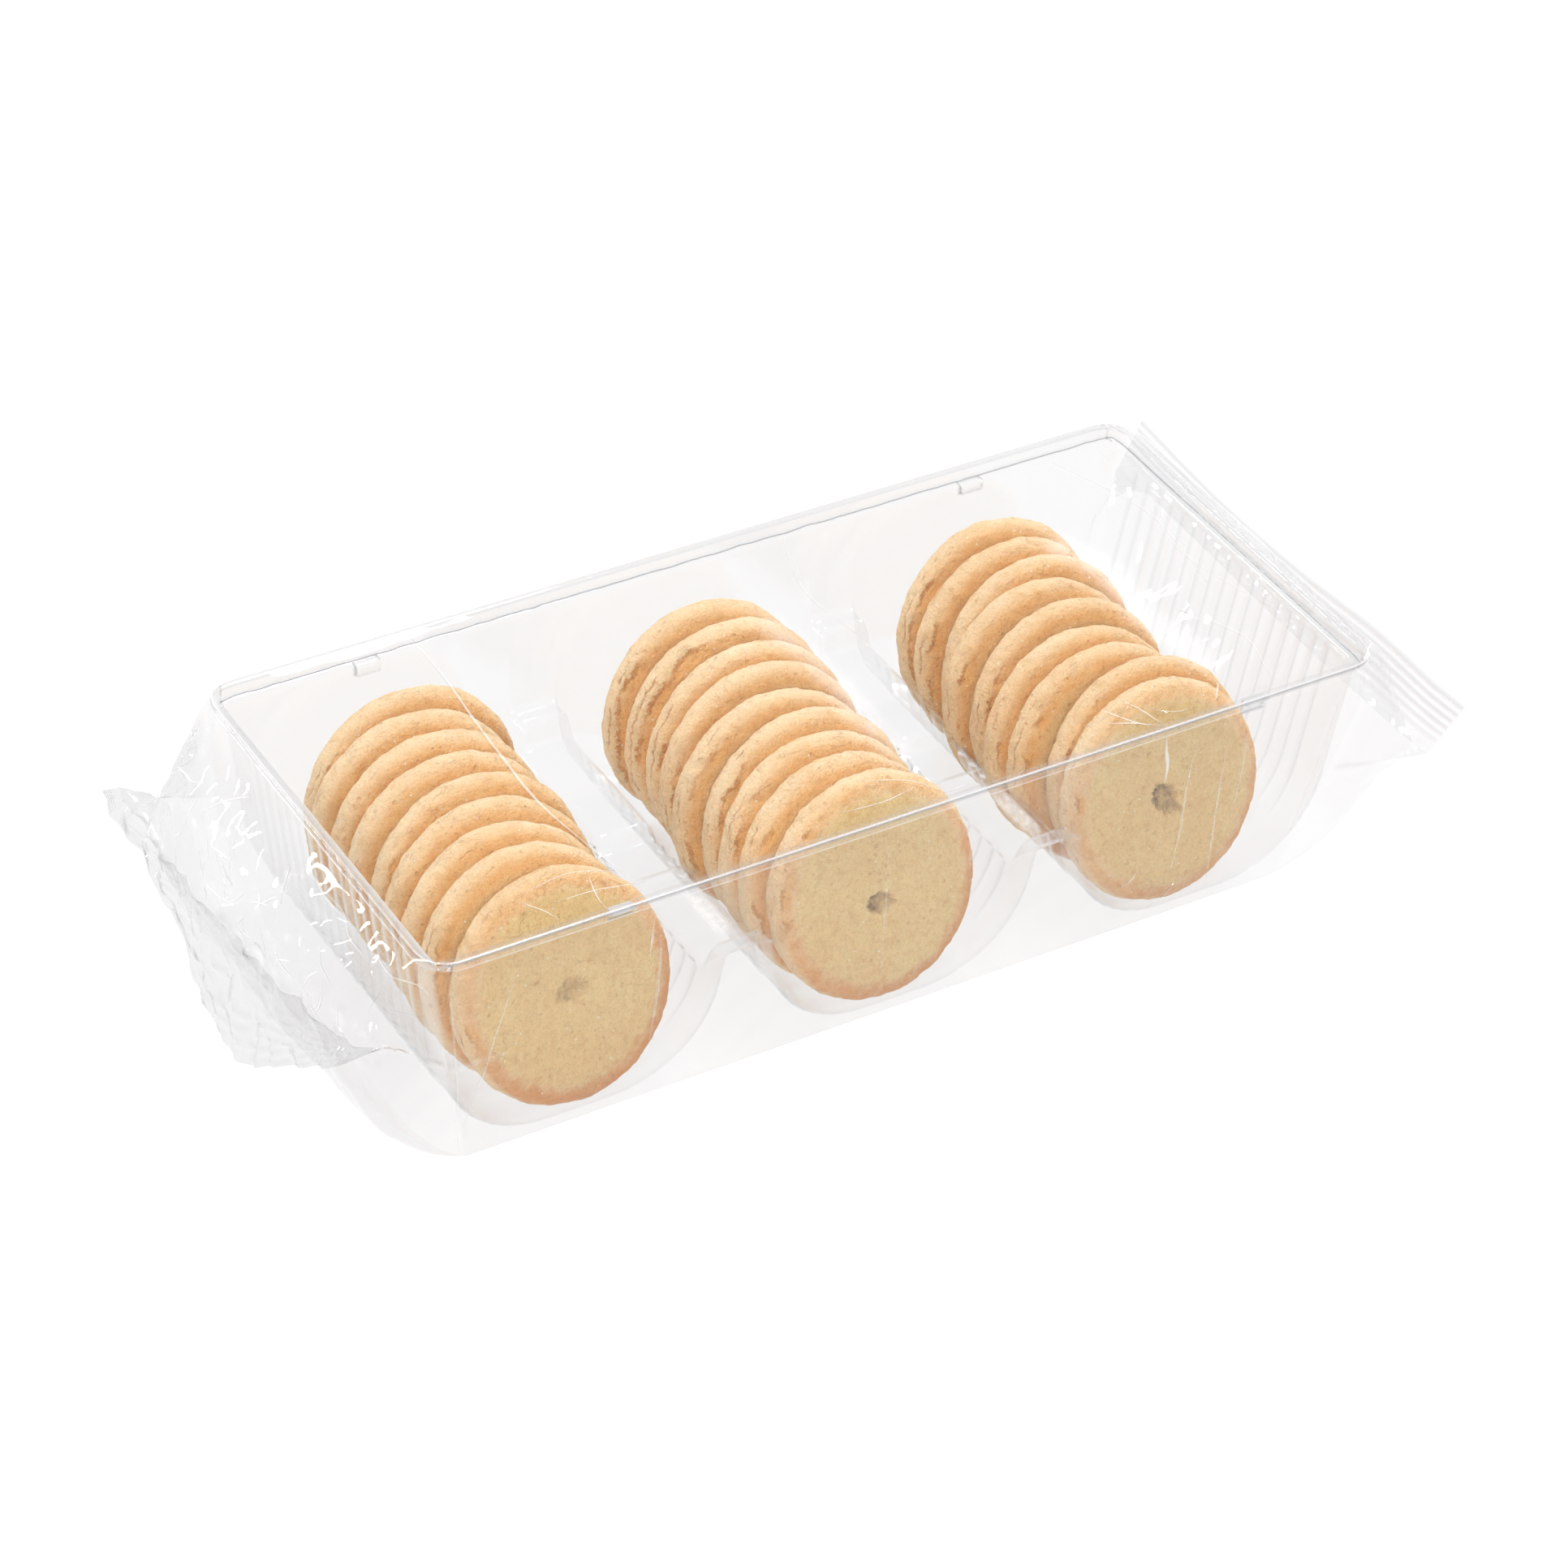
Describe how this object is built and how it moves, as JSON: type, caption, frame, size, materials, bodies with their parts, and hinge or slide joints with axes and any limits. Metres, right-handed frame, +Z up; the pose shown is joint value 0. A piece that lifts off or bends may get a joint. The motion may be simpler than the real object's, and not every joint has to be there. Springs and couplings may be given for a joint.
{
  "type": "tray pack of sugar cookies",
  "caption": "Sealed clear tray pack holding rows of round sugar cookies on edge, in flow-wrapped film with a crimped seal at each short end.",
  "frame": {"origin": "middle of the pack's box, on the surface that it rests on", "axes": "+X along the tray towards the seal that stands up, +Y across towards the far long side, +Z up"},
  "size_m": [0.3331, 0.156, 0.0697],
  "materials": {
    "clear_film": "clear glossy wrap",
    "clear_tray": "clear glossy thermoformed sheet",
    "baked_dough": "dry baked crumb"
  },
  "bodies": {
    "root": {"pack": "clear_film"}
  },
  "joints": []
}
